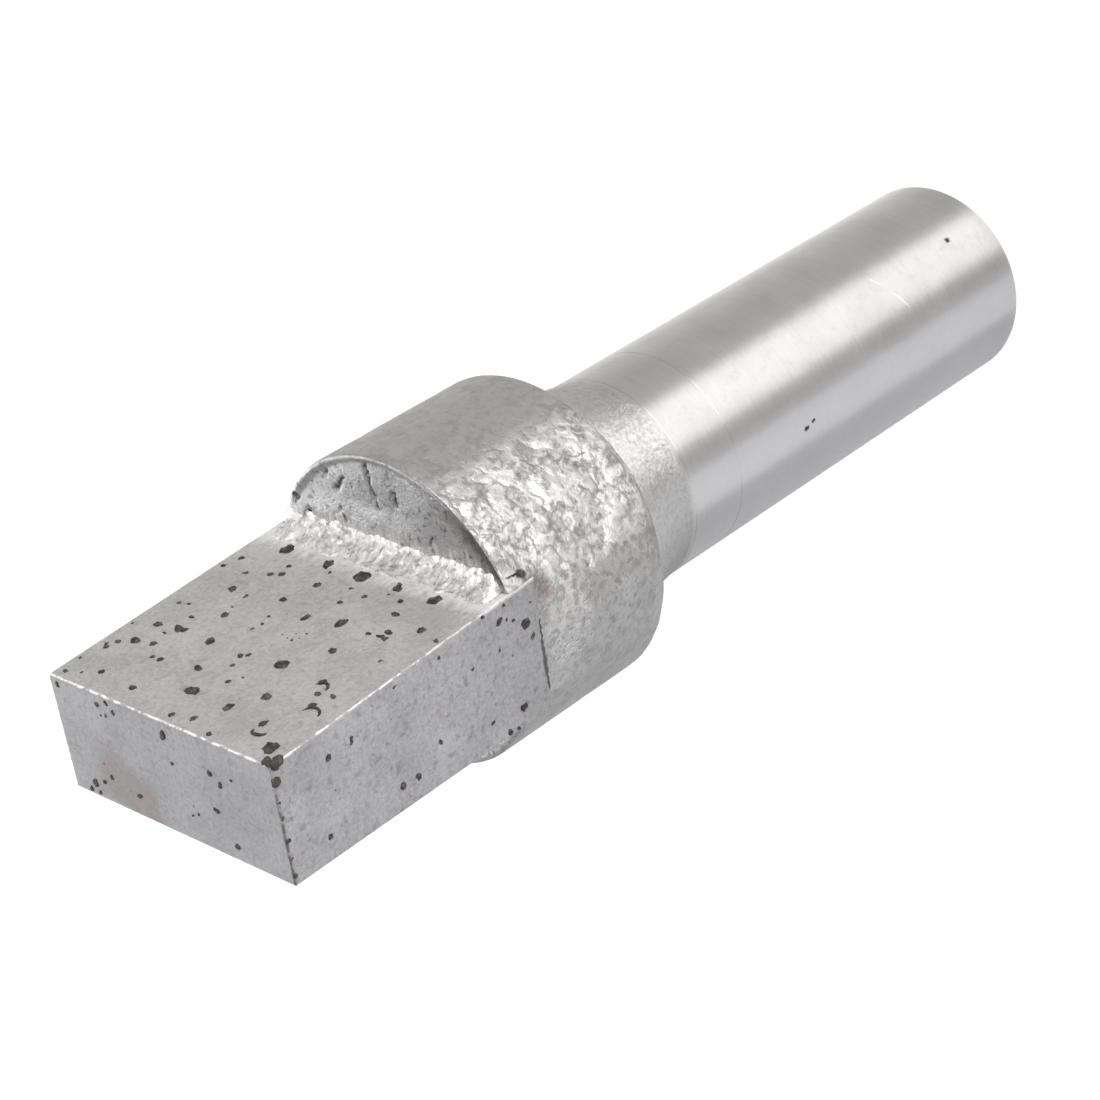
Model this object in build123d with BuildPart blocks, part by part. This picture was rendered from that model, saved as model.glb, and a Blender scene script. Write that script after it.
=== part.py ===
from build123d import *

import math
import os
import random
from dataclasses import dataclass

# Diamond wheel dresser: a tapered bar of diamond matrix, brazed into a slot across the
# head of a steel holder. Millimetres. The tool stands on the flat end of its shank: the
# centre of that end is the origin, the shank's axis is Z and the bar is at the top.
# The bar's broad working face looks to -Y, and its near side looks to -X.

# Holder: the turned shank, the flared neck and the cast head
shank_radius = 5.0
shank_length = 25.4
shank_end_chamfer = 0.4
neck_length = 4.2
neck_top_radius = 6.3
neck_hollow = 0.22
head_radius = 7.34
head_length = 9.2
head_back_round_share = 0.72
head_front_break = 0.12

# Bar of diamond matrix: thinner at the tip than at the root, off the shank's axis, and
# a little narrower than the head
bar_side_inset = 0.54
bar_length = 14.8
bar_top_at_root = 2.80
bar_top_at_tip = 1.93
bar_bottom_at_root = 3.37
bar_bottom_at_tip = 3.50
bar_edge_break = 0.07

# Seat of the bar in the head
slot_depth = 1.6
slot_clearance = 0.05

# Braze that ran out at the foot of each half-moon that the slot leaves on the head
upper_braze_leg = 1.1
lower_braze_leg = 0.7
braze_hollow = 0.16
braze_end_inset = 0.15

# Diamond grits: longest radius by size class, then how broken, deep and proud they are
coarse_grit = 0.42
medium_grit = 0.26
fine_grit = 0.16
grit_radius_spread_share = 0.15
grit_stretch_ratio = 1.9
grit_corner_wander_share = 0.2
grit_corner_reach_share = 0.82
grit_sides = (5, 5, 6)
grit_sink_share = 0.8
grit_foot_share = 0.55
grit_rise_share = 0.25
grit_rise_most = 0.06
grit_crown_share = 0.74
grit_gap = 0.14
grit_edge_margin = 0.14

# Fine grits on each face, and how many places are tried for each grit of the face
top_fine_count = 20
bottom_fine_count = 14
near_fine_count = 6
far_fine_count = 5
front_fine_count = 6
tries_per_grit = 40

# Coarse and medium grits, placed by eye: share across the face, share along it
top_coarse = [(0.88, 0.0), (0.67, 0.0), (0.50, 0.0), (0.33, 0.0), (0.16, 0.0)]
top_coarse += [(0.51, 0.86), (0.35, 0.58), (0.35, 0.28), (0.03, 0.97)]
top_medium = [(0.86, 0.31), (0.75, 0.45), (0.92, 0.61), (0.81, 0.59), (0.92, 0.73)]
top_medium += [(0.68, 0.60), (0.59, 0.74), (0.33, 0.86), (0.26, 0.75), (0.16, 0.87)]
top_medium += [(0.09, 0.71), (0.16, 0.59), (0.26, 0.43), (0.49, 0.32), (0.64, 0.27)]
top_medium += [(0.60, 0.14), (0.23, 0.15), (0.18, 0.28), (0.08, 0.18)]
near_medium = [(0.82, 0.74), (0.75, 0.03), (0.92, 0.13), (0.08, 0.09), (0.14, 0.59)]
far_medium = [(0.30, 0.22), (0.70, 0.48), (0.22, 0.81)]
front_medium = [(0.48, 0.05), (0.29, 0.64), (0.92, 0.95)]
bottom_medium = [(0.22, 0.18), (0.55, 0.30), (0.80, 0.55), (0.35, 0.62), (0.62, 0.85)]

# Heights along the axis
neck_foot = shank_length
head_back = neck_foot + neck_length
head_front = head_back + head_length
slot_floor = head_front - slot_depth
tip_height = slot_floor + bar_length
half_width = head_radius - bar_side_inset


def bar_top(height):
    """Y of the bar's broad working face at a height."""
    along = (height - slot_floor) / bar_length
    return -(bar_top_at_root + (bar_top_at_tip - bar_top_at_root) * along)


def bar_bottom(height):
    """Y of the bar's under face at a height."""
    along = (height - slot_floor) / bar_length
    return bar_bottom_at_root + (bar_bottom_at_tip - bar_bottom_at_root) * along


def at_head_rim(edge):
    """True for the two round edges at the head's full radius."""
    return abs(edge.radius - head_radius) < head_front_break


# Holder: one turned profile, then the slot across the whole head
with BuildPart() as holder:
    with BuildSketch(Plane.XZ) as holder_profile:
        with BuildLine() as holder_outline:
            neck_start = (shank_radius, neck_foot)
            neck_end = (neck_top_radius, head_back)
            neck_middle = (
                (shank_radius + neck_top_radius) / 2 - neck_hollow,
                (neck_foot + head_back) / 2 + neck_hollow,
            )
            Polyline(
                (0, 0),
                (shank_radius - shank_end_chamfer, 0),
                (shank_radius, shank_end_chamfer),
                neck_start,
            )
            ThreePointArc(neck_start, neck_middle, neck_end)
            Polyline(
                neck_end,
                (head_radius, head_back),
                (head_radius, head_front),
                (0, head_front),
                (0, 0),
            )
        make_face()
    revolve(axis=Axis.Z)
    head_rims = holder.edges().filter_by(GeomType.CIRCLE).filter_by(at_head_rim)
    shoulder_step = head_radius - neck_top_radius
    fillet(head_rims.sort_by(Axis.Z)[0], head_back_round_share * shoulder_step)
    head_rims = holder.edges().filter_by(GeomType.CIRCLE).filter_by(at_head_rim)
    chamfer(head_rims.sort_by(Axis.Z)[-1], head_front_break)
    with BuildSketch(Plane.YZ) as slot_profile:
        with BuildLine() as slot_outline:
            past_head = head_front + slot_depth
            Polyline(
                (bar_top(slot_floor) - slot_clearance, slot_floor),
                (bar_bottom(slot_floor) + slot_clearance, slot_floor),
                (bar_bottom(past_head) + slot_clearance, past_head),
                (bar_top(past_head) - slot_clearance, past_head),
                close=True,
            )
        make_face()
    extrude(amount=2 * head_radius, both=True, mode=Mode.SUBTRACT)


@dataclass
class Field:
    """A face of the bar that shows grits.

    The plane's local x runs across the face and its local y along it, from 0 to length.
    The limits across are given by a function of the place along.
    """

    plane: Plane
    length: float
    limits_across: object

    def spot(self, u_share, v_share, room):
        """Place at these shares of what is left inside a margin of this room."""
        v = room + v_share * (self.length - 2 * room)
        low, high = self.limits_across(v)
        u = low + room + u_share * (high - low - 2 * room)
        return u, v


def whole_width(v):
    """Limits across the two broad faces and the front."""
    return -half_width, half_width


def near_side_limits(v):
    """Limits across the near side, from the under face to the working face."""
    return -bar_bottom(slot_floor + v), -bar_top(slot_floor + v)


def far_side_limits(v):
    """Limits across the far side, from the working face to the under face."""
    return bar_top(slot_floor + v), bar_bottom(slot_floor + v)


def broad_field(face_y, start, across):
    """Field on a sloping broad face, from a start height to the tip."""
    foot = Vector(0, face_y(start), start)
    run = Vector(0, face_y(tip_height), tip_height) - foot
    plane = Plane(origin=foot, x_dir=across, z_dir=Vector(*across).cross(run))
    return Field(plane, run.length, whole_width)


top_field = broad_field(bar_top, head_front + upper_braze_leg, (1, 0, 0))
bottom_field = broad_field(bar_bottom, head_front + lower_braze_leg, (-1, 0, 0))
near_field = Field(
    Plane(origin=(-half_width, 0, slot_floor), x_dir=(0, -1, 0), z_dir=(-1, 0, 0)),
    bar_length,
    near_side_limits,
)
far_field = Field(
    Plane(origin=(half_width, 0, slot_floor), x_dir=(0, 1, 0), z_dir=(1, 0, 0)),
    bar_length,
    far_side_limits,
)
front_field = Field(
    Plane(origin=(0, bar_top(tip_height), tip_height), x_dir=(1, 0, 0), z_dir=(0, 0, 1)),
    bar_bottom(tip_height) - bar_top(tip_height),
    whole_width,
)


def lay_grits(field, coarse, medium, fine_count, seed):
    """Places and radii on one face: those placed by eye, then a scatter of fine ones."""
    dice = random.Random(seed)
    placed = []

    def is_clear(u, v, radius):
        return all(
            math.hypot(u - other_u, v - other_v) > radius + other_radius + grit_gap
            for other_u, other_v, other_radius in placed
        )

    by_eye = [(spot, coarse_grit) for spot in coarse] + [(spot, medium_grit) for spot in medium]
    for (u_share, v_share), size in by_eye:
        radius = size * dice.uniform(1 - grit_radius_spread_share, 1 + grit_radius_spread_share)
        u, v = field.spot(u_share, v_share, radius + grit_edge_margin)
        if is_clear(u, v, radius):
            placed.append((u, v, radius))

    wanted = len(placed) + fine_count
    for attempt in range(wanted * tries_per_grit):
        radius = fine_grit * dice.uniform(1 - grit_radius_spread_share, 1 + grit_radius_spread_share)
        u, v = field.spot(dice.random(), dice.random(), radius + grit_edge_margin)
        if len(placed) < wanted and is_clear(u, v, radius):
            placed.append((u, v, radius))
    return placed


def broken_outline(radius, stretch, dice):
    """Corners of a crushed crystal, long one way by the stretch and turned by chance."""
    sides = dice.choice(grit_sides)
    turn = dice.uniform(0, math.pi)
    corners = []
    for side in range(sides):
        angle = 2 * math.pi * (side + dice.uniform(-1, 1) * grit_corner_wander_share) / sides
        reach = radius * dice.uniform(grit_corner_reach_share, 1)
        corner = Vector(reach * math.cos(angle), reach * math.sin(angle) / stretch)
        corners.append(corner.rotate(Axis.Z, math.degrees(turn)))
    return corners


def grow_grits(field, places, seed):
    """Faceted crystals, widest at the face and narrower below it, each a solid of its own."""
    dice = random.Random(seed)
    crystals = []
    with BuildPart() as grits:
        for u, v, radius in places:
            stretch = dice.uniform(1, grit_stretch_ratio)
            corners = broken_outline(radius, stretch, dice)
            levels = [
                (-grit_sink_share * radius / stretch, grit_foot_share),
                (0, 1),
                (min(grit_rise_share * radius / stretch, grit_rise_most), grit_crown_share),
            ]
            for level, width in levels:
                with BuildSketch(field.plane.offset(level)):
                    with BuildLine():
                        points = [Vector(u, v) + corner * width for corner in corners]
                        Polyline(*points, close=True)
                    make_face()
            crystals.append(loft(ruled=True, clean=False, mode=Mode.PRIVATE))
        add(crystals, clean=False)
    return grits


top_places = lay_grits(top_field, top_coarse, top_medium, top_fine_count, 11)
bottom_places = lay_grits(bottom_field, [], bottom_medium, bottom_fine_count, 12)
near_places = lay_grits(near_field, [], near_medium, near_fine_count, 13)
far_places = lay_grits(far_field, [], far_medium, far_fine_count, 14)
front_places = lay_grits(front_field, [], front_medium, front_fine_count, 15)

top_grits = grow_grits(top_field, top_places, 21)
bottom_grits = grow_grits(bottom_field, bottom_places, 22)
near_side_grits = grow_grits(near_field, near_places, 23)
far_side_grits = grow_grits(far_field, far_places, 24)
front_grits = grow_grits(front_field, front_places, 25)

all_grits = [top_grits, bottom_grits, near_side_grits, far_side_grits, front_grits]

# Bar: its tapered side view, drawn across the width, then a pocket for every grit
with BuildPart() as diamond_bar:
    with BuildSketch(Plane.YZ) as bar_profile:
        with BuildLine() as bar_outline:
            Polyline(
                (bar_top(slot_floor), slot_floor),
                (bar_bottom(slot_floor), slot_floor),
                (bar_bottom(tip_height), tip_height),
                (bar_top(tip_height), tip_height),
                close=True,
            )
        make_face()
    extrude(amount=half_width, both=True)
    tip_edges = diamond_bar.faces().sort_by(Axis.Z)[-1].edges()
    side_edges = diamond_bar.edges().filter_by(lambda edge: edge.length > bar_length / 2)
    long_edges = side_edges.filter_by(Axis.X, reverse=True)
    chamfer(tip_edges + long_edges, bar_edge_break)
    add([grits.part for grits in all_grits], clean=False, mode=Mode.SUBTRACT)


def run_braze(face_y, outward, leg):
    """A hollow fillet of braze in the corner of a half-moon and a broad face of the bar."""
    corner = (face_y(head_front), head_front)
    foot = (face_y(head_front + leg), head_front + leg)
    crest = (face_y(head_front) + outward * leg, head_front)
    middle = (
        (foot[0] + crest[0]) / 2 - outward * braze_hollow,
        (foot[1] + crest[1]) / 2 - braze_hollow,
    )
    with BuildPart() as braze:
        with BuildSketch(Plane.YZ):
            with BuildLine():
                Line(corner, foot)
                ThreePointArc(foot, middle, crest)
                Line(crest, corner)
            make_face()
        extrude(amount=half_width, both=True)
        with BuildSketch(Plane.XY.offset(head_front)):
            Circle(head_radius - head_front_break - braze_end_inset)
        extrude(amount=leg, mode=Mode.INTERSECT)
    return braze


upper_braze = run_braze(bar_top, -1, upper_braze_leg)
lower_braze = run_braze(bar_bottom, 1, lower_braze_leg)

pieces = {
    "holder": holder,
    "diamond_bar": diamond_bar,
    "upper_braze_fillet": upper_braze,
    "lower_braze_fillet": lower_braze,
    "working_face_grits": top_grits,
    "under_face_grits": bottom_grits,
    "near_side_grits": near_side_grits,
    "far_side_grits": far_side_grits,
    "front_face_grits": front_grits,
}
os.makedirs("parts", exist_ok=True)
for name, piece in pieces.items():
    piece.part.label = name
    export_step(piece.part, f"parts/{name}.step")
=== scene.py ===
"""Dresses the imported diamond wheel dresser: cast head, turned shank, diamond bar, braze and grits.

Everything is in metres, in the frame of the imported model: the tool stands on the end of its
shank, the diamond bar is at the top, and the bar's working face looks to -Y. What is in
millimetres says so.
"""

import logging
import math
from dataclasses import dataclass, field
from enum import Enum
from functools import reduce
from typing import Callable

import bmesh
import bpy
from mathutils import Matrix, Vector, noise


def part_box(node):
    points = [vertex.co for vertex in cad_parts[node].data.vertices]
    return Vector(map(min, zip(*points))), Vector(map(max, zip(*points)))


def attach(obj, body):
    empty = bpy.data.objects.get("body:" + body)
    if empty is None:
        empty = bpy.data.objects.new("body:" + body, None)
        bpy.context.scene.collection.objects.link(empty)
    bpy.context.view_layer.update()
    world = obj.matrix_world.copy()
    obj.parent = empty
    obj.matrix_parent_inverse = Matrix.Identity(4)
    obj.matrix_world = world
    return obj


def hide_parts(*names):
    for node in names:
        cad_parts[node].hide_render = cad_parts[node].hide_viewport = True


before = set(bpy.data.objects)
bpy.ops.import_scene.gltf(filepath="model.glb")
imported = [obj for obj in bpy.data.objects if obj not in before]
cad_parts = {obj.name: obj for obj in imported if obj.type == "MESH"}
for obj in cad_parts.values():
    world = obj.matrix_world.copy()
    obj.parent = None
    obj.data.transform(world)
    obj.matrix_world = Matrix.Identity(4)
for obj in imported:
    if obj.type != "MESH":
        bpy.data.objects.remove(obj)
LOG = logging.getLogger("dresser")
MM = 0.001
MERGE_WITHIN = 0.0002 * MM
GRIT_NODES = (
    "working_face_grits",
    "under_face_grits",
    "near_side_grits",
    "far_side_grits",
    "front_face_grits",
)

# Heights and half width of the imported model, in millimetres.
BAR_FOOT = 37.2
HEAD_FRONT = 38.8
BAR_TIP = 52.0
BAR_SIDE = 6.8

Piece = bpy.types.Object
Socket = bpy.types.NodeSocket
Pair = tuple[float, float]
Triple = tuple[float, float, float]


class Slot(Enum):
    """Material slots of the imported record."""

    STEEL = "holder_steel"
    MATRIX = "diamond_matrix"
    BRAZE = "braze_metal"
    GRIT = "diamond_grit"


def deselect_all() -> None:
    """Leaves nothing selected and no object active."""
    for each in list(bpy.context.selected_objects):
        each.select_set(False)
    bpy.context.view_layer.objects.active = None


def make_active(piece: Piece) -> None:
    """Selects one object alone and makes it active.

    Args:
        piece: The object that the next operators act on.
    """
    deselect_all()
    piece.select_set(True)
    bpy.context.view_layer.objects.active = piece


def edit_all(piece: Piece) -> None:
    """Opens edit mode on one object with all of its mesh selected.

    Args:
        piece: The object to edit.
    """
    make_active(piece)
    bpy.ops.object.mode_set(mode="EDIT")
    bpy.ops.mesh.select_all(action="SELECT")


def leave_edit() -> None:
    """Goes back to object mode."""
    bpy.ops.object.mode_set(mode="OBJECT")


def settle(piece: Piece) -> None:
    """Moves an object's place into its mesh, so that the object sits at the origin."""
    make_active(piece)
    bpy.ops.object.transform_apply(location=True, rotation=True, scale=True)


def modify(piece: Piece, kind: str, **values) -> None:
    """Gives an object one modifier and applies it.

    Args:
        piece: The object to shape.
        kind: Blender's name of the modifier.
        **values: The modifier's settings.
    """
    modifier = piece.modifiers.new(kind.lower(), kind)
    for name, value in values.items():
        setattr(modifier, name, value)
    make_active(piece)
    bpy.ops.object.modifier_apply(modifier=modifier.name)


def even_grid(piece: Piece, size: float) -> None:
    """Rebuilds a closed mesh as an even grid of this size in millimetres, for a relief."""
    modify(piece, "REMESH", mode="VOXEL", voxel_size=size * MM, use_smooth_shade=True)


def carve(piece: Piece, cutter: Piece) -> None:
    """Cuts one solid with another, which is removed."""
    modify(piece, "BOOLEAN", operation="DIFFERENCE", object=cutter, solver="EXACT")
    bpy.data.objects.remove(cutter)


def press_in(piece: Piece, group: str, depth: float) -> None:
    """Presses a surface in, by this many millimetres where the group's weight is 1."""
    values = {"mid_level": 0.0, "strength": -depth * MM, "vertex_group": group}
    modify(piece, "DISPLACE", direction="NORMAL", **values)


def merged_copy(node: str, name: str) -> Piece:
    """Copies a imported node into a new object, with its loose triangles merged.

    Args:
        node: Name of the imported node.
        name: Name of the new object.

    Returns:
        The new object, at the origin.
    """
    merged = bmesh.new()
    merged.from_mesh(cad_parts[node].data)
    bmesh.ops.remove_doubles(merged, verts=merged.verts, dist=MERGE_WITHIN)
    mesh = bpy.data.meshes.new(name)
    merged.to_mesh(mesh)
    merged.free()
    piece = bpy.data.objects.new(name, mesh)
    bpy.context.scene.collection.objects.link(piece)
    return piece


def weigh(piece: Piece, name: str, weight_at: Callable[[Vector, Vector], float]) -> str:
    """Gives every vertex of a piece a weight from its place and normal.

    Args:
        piece: The object to weigh.
        name: Name of the vertex group.
        weight_at: Takes a place in millimetres and a normal, and gives 0 to 1.

    Returns:
        The group's name.
    """
    group = piece.vertex_groups.new(name=name)
    for vertex in piece.data.vertices:
        weight = weight_at(vertex.co / MM, vertex.normal)
        if weight > 0:
            group.add([vertex.index], min(weight, 1.0), "REPLACE")
    return name


def ramp(value: float, start: float, end: float) -> float:
    """Smooth step from 0 at start to 1 at end, which may lie below start."""
    share = min(max((value - start) / (end - start), 0.0), 1.0)
    return share * share * (3 - 2 * share)


def turned(place: Vector) -> float:
    """Angle of a place round the axis in degrees: 0 at -X, 90 at -Y."""
    return math.degrees(math.atan2(-place.y, -place.x))


@dataclass(frozen=True)
class Relief:
    """A texture that presses a surface in.

    Attributes:
        kind: Blender's name of the texture.
        size: Size of its features in millimetres.
        depth: How far it reaches, in millimetres.
        middle: Texture value that leaves the surface where it is.
        settings: Other values of the texture, by name.
    """

    kind: str
    size: float
    depth: float
    middle: float = 1.0
    settings: dict = field(default_factory=dict)

    def press(self, piece: Piece, group: str = "") -> None:
        """Displaces a piece.

        Args:
            piece: The object to shape.
            group: Vertex group that says where, or nothing for all over.
        """
        texture = bpy.data.textures.new(f"{piece.name}_{self.kind.lower()}", self.kind)
        texture.noise_scale = self.size * MM
        for key, value in self.settings.items():
            setattr(texture, key, value)
        modify(
            piece,
            "DISPLACE",
            texture=texture,
            texture_coords="LOCAL",
            direction="NORMAL",
            mid_level=self.middle,
            strength=self.depth * MM,
            vertex_group=group,
        )


def hold_round(piece: Piece, radius: float) -> None:
    """Brings whatever stands outside a radius round the axis back to that radius.

    Args:
        piece: The object to hold.
        radius: The radius, in millimetres.
    """

    def proud_at(place: Vector, normal: Vector) -> float:
        """Gives 1 to a point outside the radius."""
        return 1.0 if math.hypot(place.x, place.y) > radius else 0.0

    modify(
        piece,
        "CAST",
        cast_type="CYLINDER",
        use_z=False,
        factor=1.0,
        radius=0.0,
        use_radius_as_size=False,
        size=radius * MM,
        vertex_group=weigh(piece, "proud", proud_at),
    )


@dataclass(frozen=True)
class Streak:
    """A line mark between two places, in millimetres.

    Attributes:
        start: Where it starts.
        end: Where it ends.
        reach: Half its width.
    """

    start: Triple
    end: Triple
    reach: float

    def weight(self, place: Vector) -> float:
        """How much a place lies in the mark.

        Args:
            place: The place, in millimetres.

        Returns:
            1 on the line, 0 outside it.
        """
        start = Vector(self.start)
        run = Vector(self.end) - start
        along = min(max((place - start).dot(run) / run.length_squared, 0.0), 1.0)
        distance = (place - start - run * along).length
        return ramp(distance, self.reach * 1.5, self.reach * 0.5)


@dataclass(frozen=True)
class Ring:
    """One ring of a turned shape, in millimetres."""

    radius: float
    height: float


def turn(name: str, rings: list[Ring], segments: int) -> Piece:
    """Turns a closed solid: a disc is drawn up ring by ring.

    Args:
        name: Name of the new object.
        rings: The rings from the lowest to the highest.
        segments: Vertices round each ring.

    Returns:
        The new object, at the origin.
    """
    deselect_all()
    before = rings[0]
    bpy.ops.mesh.primitive_circle_add(
        vertices=segments,
        radius=before.radius * MM,
        fill_type="NGON",
        location=(0, 0, before.height * MM),
    )
    piece = bpy.context.active_object
    piece.name = name
    settle(piece)
    edit_all(piece)
    for ring in rings[1:]:
        step = (0, 0, (ring.height - before.height) * MM)
        bpy.ops.mesh.extrude_region_move(TRANSFORM_OT_translate={"value": step})
        grow = ring.radius / before.radius
        middle = (0, 0, ring.height * MM)
        bpy.ops.transform.resize(value=(grow, grow, 1), center_override=middle)
        before = ring
    bpy.ops.mesh.select_all(action="SELECT")
    bpy.ops.mesh.normals_make_consistent(inside=False)
    leave_edit()
    return piece


def arc_rings(start: Ring, end: Ring, bulge: float, count: int) -> list[Ring]:
    """Rings along a curve between two rings.

    Args:
        start: The lower ring, which isn't repeated.
        end: The upper ring.
        bulge: How far the curve's middle leaves the straight line, outward if above 0.
        count: How many rings.

    Returns:
        The rings after start, end included.
    """
    rings = []
    for step in range(1, count + 1):
        share = step / count
        out = 4 * bulge * share * (1 - share)
        radius = start.radius + (end.radius - start.radius) * share + out
        height = start.height + (end.height - start.height) * share - out
        rings.append(Ring(radius, height))
    return rings


class Sheet:
    """A material's node tree, with short ways to add nodes.

    Attributes:
        place: Object coordinates in millimetres, of which x, y and z are the parts.
        up: How far a place lies to -Y, in millimetres.
        angle: Angle round the axis in radians: 0 at -X, a quarter turn at -Y.
    """

    def __init__(self, name: str) -> None:
        """Starts a material.

        Args:
            name: The material's name.
        """
        self.material = bpy.data.materials.new(name)
        self.material.use_nodes = True
        self.tree = self.material.node_tree
        self.tree.nodes.clear()
        self.output = self.tree.nodes.new("ShaderNodeOutputMaterial")
        coordinates = self.node("ShaderNodeTexCoord").outputs["Object"]
        self.place = self.scaled(coordinates, (1 / MM, 1 / MM, 1 / MM))
        self.x, self.y, self.z = self.node("ShaderNodeSeparateXYZ", {0: self.place}).outputs
        self.up = self.product(self.y, -1.0)
        self.angle = self.math("ARCTAN2", self.up, self.product(self.x, -1.0))

    def node(self, kind: str, links: dict | None = None, **values) -> bpy.types.Node:
        """Adds a node.

        Args:
            kind: Blender's name of the node.
            links: Socket name or index, to a source socket or a value.
            **values: Attributes of the node.

        Returns:
            The node.
        """
        made = self.tree.nodes.new(kind)
        for key, value in values.items():
            setattr(made, key, value)
        for socket, source in (links or {}).items():
            self.feed(made.inputs[socket], source)
        return made

    def feed(self, socket: Socket, source: Socket | Triple | float) -> None:
        """Links an input to a source, or gives it a value.

        Args:
            socket: The input.
            source: The source socket or the value.
        """
        if isinstance(source, Socket):
            self.tree.links.new(source, socket)
        else:
            socket.default_value = source

    def scaled(self, source: Socket, scale: Triple) -> Socket:
        """Coordinates that are multiplied along each axis."""
        links = {"Vector": source, "Scale": scale}
        return self.node("ShaderNodeMapping", links).outputs["Vector"]

    def vector(
        self, operation: str, first: Socket | Triple, second: Socket | Triple | float
    ) -> Socket:
        """One sum of vectors.

        Args:
            operation: Blender's name of the operation.
            first: The first vector.
            second: The second one, or what the first is scaled by.

        Returns:
            The result.
        """
        links = {0: first, "Scale" if operation == "SCALE" else 1: second}
        made = self.node("ShaderNodeVectorMath", links, operation=operation)
        return made.outputs["Value" if operation in ("DOT_PRODUCT", "DISTANCE") else "Vector"]

    def wobbled(self, per_mm: float, reach: float) -> Socket:
        """Millimetres shaken by noise, which makes the outline of a mark ragged.

        Args:
            per_mm: Wobbles to a millimetre.
            reach: How far a wobble goes, in millimetres.

        Returns:
            The coordinates.
        """
        links = {"Vector": self.place, "Scale": per_mm, "Detail": 3.0}
        shake = self.node("ShaderNodeTexNoise", links).outputs["Color"]
        centred = self.vector("SUBTRACT", shake, (0.5, 0.5, 0.5))
        return self.vector("ADD", self.place, self.vector("SCALE", centred, 2 * reach))

    def in_any(self, streaks: tuple[Streak, ...], place: Socket) -> Socket:
        """1 inside any of several line marks, 0 outside them.

        Args:
            streaks: The marks.
            place: Coordinates in millimetres.

        Returns:
            The mask.
        """
        mask = 0.0
        for streak in streaks:
            run = Vector(streak.end) - Vector(streak.start)
            away = self.vector("SUBTRACT", place, streak.start)
            along = self.vector("DOT_PRODUCT", away, tuple(run / run.length_squared))
            foot = self.vector("SCALE", tuple(run), self.span(along, 0.0, 1.0))
            gap = self.vector("DISTANCE", away, foot)
            inside = self.span(gap, streak.reach * 0.6, streak.reach * 1.4, 1.0, 0.0)
            mask = self.math("MAXIMUM", mask, inside)
        return mask

    def product(self, *masks: Socket | float) -> Socket:
        """Several masks multiplied."""
        return reduce(lambda one, other: self.math("MULTIPLY", one, other), masks)

    def total(self, *parts: tuple[Socket, float]) -> Socket:
        """Several values added, each times its weight."""
        weighed = [self.product(part, weight) for part, weight in parts]
        return reduce(lambda one, other: self.math("ADD", one, other), weighed)

    def noise(
        self,
        per_mm: float,
        detail: float = 4.0,
        rough: float = 0.6,
        warp: float = 0.0,
        place: Socket | None = None,
    ) -> Socket:
        """Noise of about 0.3 to 0.7, with this many features to a millimetre.

        Args:
            per_mm: Features to a millimetre.
            detail: Octaves.
            rough: How strong each finer octave is.
            warp: Distortion.
            place: Coordinates, or nothing for plain millimetres.

        Returns:
            The noise.
        """
        links = {"Vector": place or self.place, "Scale": per_mm, "Detail": detail}
        links.update({"Roughness": rough, "Distortion": warp})
        return self.node("ShaderNodeTexNoise", links).outputs["Fac"]

    def drawn(self, scale: Triple, detail: float, rough: float) -> Socket:
        """Noise with this many features to a millimetre along each axis."""
        return self.noise(1.0, detail, rough, place=self.scaled(self.place, scale))

    def cells(self, per_mm: float, feature: str = "F1", place: Socket | None = None) -> Socket:
        """Distance in a Voronoi pattern with this many cells to a millimetre."""
        links = {"Vector": place or self.place, "Scale": per_mm}
        return self.node("ShaderNodeTexVoronoi", links, feature=feature).outputs["Distance"]

    def span(
        self, source: Socket, low: float, high: float, to_low: float = 0.0, to_high: float = 1.0
    ) -> Socket:
        """Maps the range from low to high onto that from to_low to to_high, and clamps it."""
        ends = {"From Min": low, "From Max": high, "To Min": to_low, "To Max": to_high}
        return self.node("ShaderNodeMapRange", {"Value": source, **ends}).outputs["Result"]

    def band(self, source: Socket, low: float, high: float, over: float, end: float) -> Socket:
        """1 from high to over, with a soft edge that begins at low and one that stops at end."""
        return self.product(self.span(source, low, high), self.span(source, over, end, 1.0, 0.0))

    def math(self, operation: str, first: Socket | float, second: Socket | float = 0.0) -> Socket:
        """One sum by Blender's name of the operation."""
        return self.node("ShaderNodeMath", {0: first, 1: second}, operation=operation).outputs[0]

    def blend(
        self, share: Socket | float, lower: Socket | Triple, upper: Socket | Triple
    ) -> Socket:
        """Mixes two colours.

        Args:
            share: 0 for the first, 1 for the second.
            lower: The first colour.
            upper: The second colour.

        Returns:
            The mixed colour.
        """
        made = self.node("ShaderNodeMix", data_type="RGBA")
        named = {each.identifier: each for each in (*made.inputs, *made.outputs)}
        for name, source in (("Factor_Float", share), ("A_Color", lower), ("B_Color", upper)):
            self.feed(named[name], (*source, 1.0) if isinstance(source, tuple) else source)
        return named["Result_Color"]

    def coats(self, color: Socket, *coats: tuple[Socket, float, Socket | Triple]) -> Socket:
        """Lays colours over a first one.

        Args:
            color: The first colour.
            *coats: Mask, share and colour of each coat, from the lowest to the highest.

        Returns:
            The colour.
        """
        for mask, share, tone in coats:
            color = self.blend(self.product(mask, share), color, tone)
        return color

    def bumps(self, *layers: tuple[Socket, float]) -> Socket:
        """Bumps a surface.

        Args:
            *layers: Each layer's height and what a height of 1 stands for, in millimetres.

        Returns:
            The normal.
        """
        below = {}
        for height, depth in layers:
            links = {"Height": height, "Distance": depth * MM, **below}
            below = {"Normal": self.node("ShaderNodeBump", links).outputs["Normal"]}
        return below["Normal"]

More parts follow.
